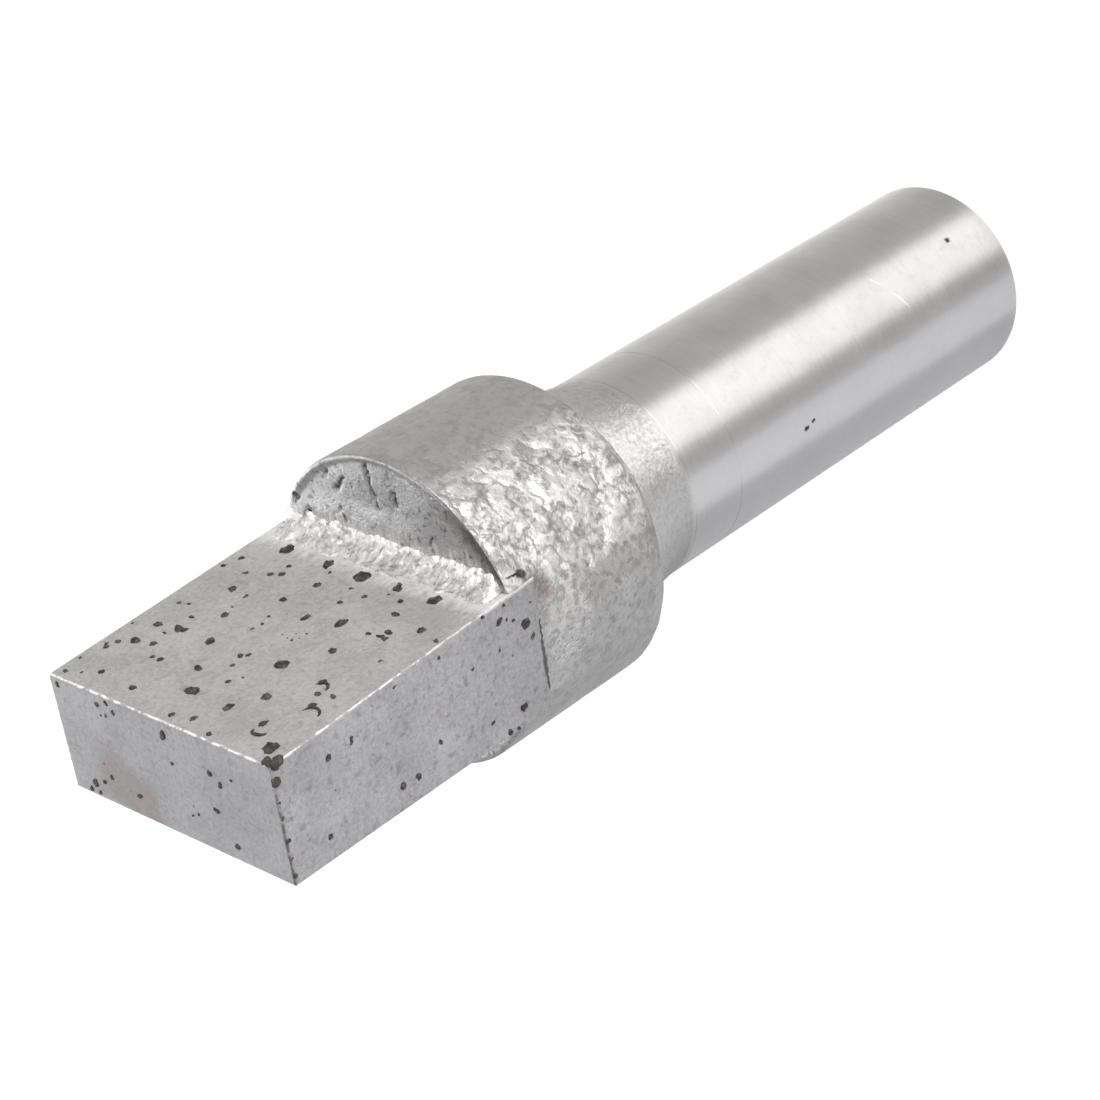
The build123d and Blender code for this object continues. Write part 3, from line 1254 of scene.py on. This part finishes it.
@dataclass
class Bar:
    """The bar of diamond matrix, in millimetres: thinner at the tip, with worn edges."""

    root_top: float = 2.80
    tip_top: float = 1.93
    root_bottom: float = 3.37
    tip_bottom: float = 3.50
    cuts: int = 100
    clearance: float = 0.0
    reach: float = 0.0
    lift: float = 0.0
    smooth_angle: float = 35.0
    worn_side: float = 6.5
    least_wear: float = 0.35
    edge_leans: Pair = (0.15, 0.45)

    def block(self, name: str) -> Piece:
        """Models the plain tapered block, wider by the clearance and the reach.

        Args:
            name: Name of the object.

        Returns:
            The block, at the origin.
        """
        low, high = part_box("diamond_bar")
        half = (high[0] / MM + self.reach) * MM
        foot = low[2] + self.lift * MM
        length = high[2] - low[2]
        thick = self.root_top + self.root_bottom + 2 * self.clearance
        middle = (self.root_bottom - self.root_top) / 2
        tip_thick = self.tip_top + self.tip_bottom + 2 * self.clearance
        tip_middle = (self.tip_bottom - self.tip_top) / 2
        deselect_all()
        bpy.ops.mesh.primitive_plane_add(size=1.0, location=(0, middle * MM, foot))
        piece = bpy.context.active_object
        piece.name = name
        piece.scale = (2 * half, thick * MM, 1)
        settle(piece)
        edit_all(piece)
        bpy.ops.mesh.extrude_region_move(TRANSFORM_OT_translate={"value": (0, 0, length)})
        centre = (0, middle * MM, foot + length)
        bpy.ops.transform.resize(value=(1, tip_thick / thick, 1), center_override=centre)
        bpy.ops.transform.translate(value=(0, (tip_middle - middle) * MM, 0))
        bpy.ops.mesh.select_all(action="SELECT")
        bpy.ops.mesh.normals_make_consistent(inside=False)
        leave_edit()
        return piece

    def build(self) -> Piece:
        """Builds and dresses the bar.

        Returns:
            The bar.
        """
        piece = self.block("ground_bar")
        edit_all(piece)
        bpy.ops.mesh.subdivide(number_cuts=self.cuts)
        leave_edit()

        def edge_at(place: Vector, normal: Vector) -> float:
            """Weighs the wear of the edges, where a normal leans between two faces.

            Args:
                place: The point, in millimetres.
                normal: Which way the skin faces there.

            Returns:
                The share of the wear's depth, from 0 to 1.
            """
            worn = place.y < 0 and place.x < self.worn_side
            lean = sorted(abs(each) for each in normal)[1]
            return (1.0 if worn else self.least_wear) * ramp(lean, *self.edge_leans)

        edges = weigh(piece, "edges", edge_at)
        Relief("CLOUDS", 0.4, 0.055, 0.8, {"noise_depth": 2}).press(piece, edges)
        make_active(piece)
        bpy.ops.object.shade_smooth_by_angle(angle=math.radians(self.smooth_angle))
        piece.data.materials.append(GroundMatrix().make())
        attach(piece, "root")
        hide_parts("diamond_bar")
        return piece


@dataclass
class Braze:
    """The two runs of braze at the foot of the half-moons, in millimetres."""

    grid: float = 0.055
    sink: float = 0.14
    stretch: float = 1.4
    seat: float = 0.07
    taper: float = 0.5
    taper_from: float = 6.0
    taper_to: float = 6.9
    corner_side: float = 2.86
    corner_sink: float = 0.1

    def spread(self, piece: Piece) -> None:
        """Sinks a fillet into the head a little, and draws it out along the bar.

        Args:
            piece: The fillet.
        """
        edit_all(piece)
        root = min(vertex.co.z for vertex in piece.data.vertices)
        bpy.ops.transform.resize(value=(1, 1, self.stretch), center_override=(0, 0, root))
        side = math.copysign(1.0, piece.data.vertices[0].co.y)
        inward = -side * self.seat * MM
        bpy.ops.transform.translate(value=(0, inward, -self.sink * MM))
        leave_edit()
        corner = Vector((0.0, side * self.corner_side * MM, root - self.corner_sink * MM))
        for vertex in piece.data.vertices:
            outward = abs(vertex.co.x) / MM
            share = self.taper * ramp(outward, self.taper_from, self.taper_to)
            vertex.co.y += (corner.y - vertex.co.y) * share
            vertex.co.z += (corner.z - vertex.co.z) * share

    def build(self) -> list[Piece]:
        """Builds and dresses both fillets.

        Returns:
            The two pieces.
        """
        finish = BrightBraze().make()
        pieces = []
        for node in ("upper_braze_fillet", "lower_braze_fillet"):
            piece = merged_copy(node, node.removesuffix("_fillet"))
            even_grid(piece, self.grid)
            self.spread(piece)
            Relief("CLOUDS", 0.7, 0.30, 0.5, {"noise_depth": 3}).press(piece)
            Relief("CLOUDS", 0.22, 0.06, 0.6, {"noise_depth": 2}).press(piece)
            piece.data.materials.append(finish)
            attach(piece, "root")
            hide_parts(node)
            pieces.append(piece)
        return pieces


@dataclass(frozen=True)
class Crystal:
    """One extra crystal, in millimetres.

    Attributes:
        place: Its middle.
        radius: Its radius.
        shape: How it is squeezed along each axis.
    """

    place: Triple
    radius: float
    shape: Triple = (1.0, 0.9, 0.8)

    def model(self, turn_step: float) -> Piece:
        """Models the crystal.

        Args:
            turn_step: How far it is turned, in radians.

        Returns:
            The crystal, at the origin.
        """
        deselect_all()
        bpy.ops.mesh.primitive_ico_sphere_add(
            subdivisions=3,
            radius=self.radius * MM,
            location=Vector(self.place) * MM,
            rotation=(turn_step, turn_step * 1.6, turn_step * 0.6),
        )
        made = bpy.context.active_object
        made.scale = self.shape
        settle(made)
        Relief("CLOUDS", self.radius, 0.8 * self.radius, 0.40).press(made)
        return made


@dataclass(frozen=True)
class Fleck:
    """A small broken grit in the working face, in millimetres.

    Attributes:
        across: Its place across the bar.
        height: Its place along the bar.
        reach: How far it shows round its middle.
        shown: That reach as a share of its radius.
        sunk: How deep its middle lies, as a share of its radius.
    """

    across: float
    height: float
    reach: float
    shown: float = 0.75
    sunk: float = 0.55

    def model(self, turn_step: float) -> Piece:
        """Models the fleck, sunk into the face apart from its top.

        Args:
            turn_step: How far it is turned, in radians.

        Returns:
            The fleck, at the origin.
        """
        bar = Bar()
        slope = (bar.root_top - bar.tip_top) / (BAR_TIP - BAR_FOOT)
        face = slope * (self.height - BAR_FOOT) - bar.root_top
        radius = self.reach / self.shown
        place = (self.across, face + self.sunk * radius, self.height)
        return Crystal(place, radius).model(turn_step)


@dataclass(frozen=True)
class Crescent:
    """A pulled-out grit on the working face, of which one arc of its rim shows.

    Attributes:
        place: Its middle, in millimetres.
        radius: Its radius.
        lean: Radians by which its rim dips into the face.
        width: Half the thickness of its rim.
    """

    place: Triple
    radius: float
    lean: float
    width: float

    def model(self, turn_step: float) -> Piece:
        """Models the arc as a thin ring that leans into the face.

        Args:
            turn_step: How far it is turned, in radians.

        Returns:
            The ring, at the origin.
        """
        deselect_all()
        bpy.ops.mesh.primitive_torus_add(
            major_radius=self.radius * MM,
            minor_radius=self.width * MM,
            major_segments=40,
            minor_segments=10,
            location=Vector(self.place) * MM,
            rotation=(math.pi / 2 + self.lean, 0.25 * math.sin(turn_step * 5), 0),
        )
        made = bpy.context.active_object
        settle(made)
        return made


def crystals(*rows: tuple[float, float, float, float]) -> tuple[Crystal, ...]:
    """Crystals from rows of x, y, z and radius, in millimetres."""
    return tuple(Crystal((x, y, z), radius) for x, y, z, radius in rows)


def flecks(*rows: Triple) -> tuple[Fleck, ...]:
    """Flecks from rows of their place across, height and reach, in millimetres."""
    return tuple(Fleck(*row) for row in rows)


EXTRA_GRITS = {
    "near_side_grits": crystals(
        (-6.68, -1.88, 51.80, 0.27), (-6.68, -1.92, 51.46, 0.25), (-6.34, -1.88, 51.80, 0.24),
        (-6.70, -1.20, 51.84, 0.26), (-6.72, -0.30, 51.90, 0.13), (-6.72, 0.45, 51.90, 0.14),
        (-6.71, 1.45, 51.90, 0.16), (-6.72, 2.30, 51.90, 0.13), (-6.71, 3.05, 51.90, 0.17),
        (-6.50, -3.10, 37.70, 0.20), (-6.72, -2.45, 40.3, 0.14), (-6.74, -1.95, 42.9, 0.13),
        (-6.74, -1.9, 45.4, 0.12), (-6.75, -0.7, 45.9, 0.09), (-6.75, 0.7, 49.2, 0.08),
        (-6.69, -2.40, 39.06, 0.17), (-6.73, -1.80, 37.62, 0.12), (-6.73, -1.68, 39.02, 0.13),
        (-6.73, -1.50, 38.67, 0.13), (-6.71, -0.63, 39.66, 0.15), (-6.70, -0.56, 41.28, 0.16),
        (-6.75, 0.00, 39.04, 0.09), (-6.72, 3.28, 39.35, 0.14), (-6.70, 3.22, 39.86, 0.19),
    ),
    "front_face_grits": crystals(
        (3.20, -1.66, 51.93, 0.16), (2.85, -1.32, 51.92, 0.18), (3.84, -1.40, 51.93, 0.15),
        (3.40, -1.02, 51.94, 0.12), (3.75, -0.90, 51.95, 0.10), (4.08, 2.17, 51.92, 0.16),
        (4.40, 1.65, 51.94, 0.10), (-0.45, 0.0, 51.94, 0.13), (-4.13, -0.43, 51.93, 0.13),
        (-1.5, 2.05, 51.94, 0.12), (-1.05, 2.25, 51.95, 0.10), (-1.25, 1.75, 51.95, 0.09),
        (5.8, 3.28, 51.90, 0.20), (5.2, 3.30, 51.92, 0.16),
    ),
    "working_face_grits": (
        Crescent((-5.55, -2.05, 48.75), 0.42, -0.34, 0.08),
        Crescent((-4.61, -1.93, 50.45), 0.36, 0.34, 0.09),
        Crescent((-4.57, -2.14, 47.25), 0.34, -0.34, 0.09),
        *flecks(
            (4.30, 47.03, 0.24), (4.77, 50.76, 0.19), (2.62, 50.97, 0.18), (3.64, 48.98, 0.13),
            (3.21, 48.97, 0.16), (0.22, 47.21, 0.15), (-0.04, 46.98, 0.14), (3.63, 41.35, 0.14),
            (3.44, 41.94, 0.17), (6.13, 41.84, 0.15), (5.91, 45.62, 0.13), (5.44, 45.48, 0.11),
            (5.57, 51.23, 0.10), (1.40, 44.58, 0.10), (1.24, 45.10, 0.11), (1.32, 45.55, 0.12),
            (-0.20, 45.29, 0.07), (-0.89, 45.36, 0.08), (-1.07, 45.14, 0.07), (-1.09, 44.74, 0.08),
            (-0.67, 44.94, 0.06), (-0.58, 45.35, 0.07), (-0.73, 48.72, 0.14), (-1.09, 48.28, 0.09),
            (-5.41, 44.72, 0.11), (-0.29, 41.39, 0.11), (-1.29, 41.61, 0.15), (-2.13, 41.00, 0.09),
            (-4.20, 43.10, 0.20), (-4.45, 43.45, 0.20), (1.55, 40.92, 0.10), (6.35, 49.27, 0.12),
            (6.55, 50.56, 0.10), (6.27, 51.53, 0.13), (6.53, 47.69, 0.10),
        ),
    ),
}


@dataclass
class Grits:
    """The diamond grits that show in each face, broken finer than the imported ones."""

    turn_step: float = 0.7
    top_gap: float = 0.002

    def broken(self, node: str) -> Piece:
        """Copies packed grits, breaks their straight outlines and joins the extra ones.

        Args:
            node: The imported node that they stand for.

        Returns:
            The crystals, as one piece.
        """
        piece = merged_copy(node, node.replace("grits", "crystals"))
        edit_all(piece)
        bpy.ops.mesh.subdivide(number_cuts=2)
        leave_edit()
        Relief("CLOUDS", 0.28, 0.20, 0.34, {"noise_depth": 2}).press(piece)
        extra = EXTRA_GRITS.get(node, ())
        extra = [each.model(self.turn_step * i) for i, each in enumerate(extra)]
        make_active(piece)
        for each in extra:
            each.select_set(True)
        if extra:
            bpy.ops.object.join()
        return piece

    def build(self) -> list[Piece]:
        """Builds and dresses the grits of every face.

        Returns:
            One piece for each face.
        """
        finish = DarkGrit().make()
        chips = {"noise_depth": 2, "noise_type": "HARD_NOISE"}
        pieces = []
        for node in GRIT_NODES:
            piece = self.broken(node)
            Relief("CLOUDS", 0.16, 0.03, 0.95, chips).press(piece)
            top = max(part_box(node)[1][2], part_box("diamond_bar")[1][2]) - self.top_gap * MM
            for vertex in piece.data.vertices:
                vertex.co.z = min(vertex.co.z, top)
            piece.data.materials.clear()
            piece.data.materials.append(finish)
            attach(piece, "root")
            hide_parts(node)
            pieces.append(piece)
        return pieces


@dataclass(frozen=True)
class Lamp:
    """A soft light that looks at the tool.

    Attributes:
        name: The lamp's name.
        toward: Direction from the tool to the lamp.
        width: Its width, in metres.
        height: Its height, in metres.
        power: Its power, in watts.
        distance: How far away it is, in metres.
    """

    name: str
    toward: Triple
    width: float
    height: float
    power: float
    distance: float = 0.30

    def hang(self, target: Vector) -> None:
        """Places the lamp.

        Args:
            target: What it looks at.
        """
        data = bpy.data.lights.new(self.name, "AREA")
        data.shape = "RECTANGLE"
        data.size = self.width
        data.size_y = self.height
        data.energy = self.power
        lamp = bpy.data.objects.new(self.name, data)
        lamp.visible_camera = False
        away = Vector(self.toward).normalized()
        lamp.location = target + away * self.distance
        lamp.rotation_mode = "QUATERNION"
        lamp.rotation_quaternion = (-away).to_track_quat("-Z", "Y")
        bpy.context.scene.collection.objects.link(lamp)


@dataclass
class Studio:
    """Pale floor, soft light and the photo's camera, whose place is in millimetres."""

    floor_size: float = 3.0
    world_level: float = 0.62
    floor_shade: float = 0.78
    camera_share: float = 0.7
    glossy_share: float = 0.10
    glow: float = 1.25
    camera_place: Triple = (-78.279, -54.729, 102.923)
    camera_right: Triple = (-0.72748, 0.13779, -0.67215)
    camera_up: Triple = (0.22844, -0.87510, -0.42664)
    sensor_mm: float = 36.0
    focal_px: float = 2711.86
    photo_px: float = 1100.0
    clip_start: float = 0.005
    aim: Triple = (0.0, 0.0, 0.026)
    lamps: tuple[Lamp, ...] = (
        Lamp("key", (-0.629, -0.777, 0.25), 0.26, 0.18, 0.80),
        Lamp("crest", (0.66, -0.10, 0.74), 0.08, 0.08, 0.13),
        Lamp("rim", (0.951, 0.309, 0.20), 0.24, 0.16, 0.35),
        Lamp("cheek", (-0.956, 0.292, 0.05), 0.20, 0.06, 0.15),
    )

    def floor(self) -> None:
        """Lays the floor, which is white to the camera apart from the tool's shadow."""
        deselect_all()
        bpy.ops.mesh.primitive_plane_add(size=self.floor_size, location=(0, 0, 0))
        floor = bpy.context.active_object
        floor.name = "floor"
        sheet = Sheet("pale_floor")
        rays = sheet.node("ShaderNodeLightPath").outputs
        share = sheet.total(
            (rays["Is Camera Ray"], self.camera_share),
            (rays["Is Glossy Ray"], self.glossy_share),
            (rays["Is Transmission Ray"], self.glossy_share),
        )
        shade = (self.floor_shade, self.floor_shade, self.floor_shade, 1.0)
        matt = sheet.node("ShaderNodeBsdfDiffuse", {"Color": shade})
        glow = sheet.node("ShaderNodeEmission", {"Strength": self.glow})
        links = {0: share, 1: matt.outputs[0], 2: glow.outputs[0]}
        mixed = sheet.node("ShaderNodeMixShader", links)
        sheet.tree.links.new(mixed.outputs[0], sheet.output.inputs["Surface"])
        floor.data.materials.append(sheet.material)

    def world(self) -> None:
        """Makes an even pale surrounding."""
        world = bpy.data.worlds.new("studio")
        world.use_nodes = True
        level = self.world_level
        background = world.node_tree.nodes["Background"]
        background.inputs["Color"].default_value = (level, level, level * 1.01, 1.0)
        background.inputs["Strength"].default_value = 1.0
        bpy.context.scene.world = world

    def camera(self) -> None:
        """Places the photo's camera."""
        right = Vector(self.camera_right)
        up = Vector(self.camera_up)
        data = bpy.data.cameras.new("photo_camera")
        data.sensor_width = self.sensor_mm
        data.lens = self.focal_px / self.photo_px * self.sensor_mm
        data.clip_start = self.clip_start
        camera = bpy.data.objects.new("photo_camera", data)
        axes = Matrix((right, up, right.cross(up))).transposed()
        camera.rotation_mode = "QUATERNION"
        camera.rotation_quaternion = axes.to_quaternion()
        camera.location = Vector(self.camera_place) * MM
        bpy.context.scene.collection.objects.link(camera)
        bpy.context.scene.camera = camera

    def build(self) -> None:
        """Builds the studio."""
        self.floor()
        self.world()
        self.camera()
        for lamp in self.lamps:
            lamp.hang(Vector(self.aim))
        bpy.context.scene.view_settings.view_transform = "Standard"


def main() -> None:
    """Builds the dressed tool and its studio."""
    logging.basicConfig(level=logging.INFO)
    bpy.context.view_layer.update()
    pieces = [*Holder().build(), Bar().build(), *Braze().build(), *Grits().build()]
    for piece in pieces:
        LOG.info("%s: %d faces", piece.name, len(piece.data.polygons))
    Studio().build()


if __name__ == "__main__":
    main()
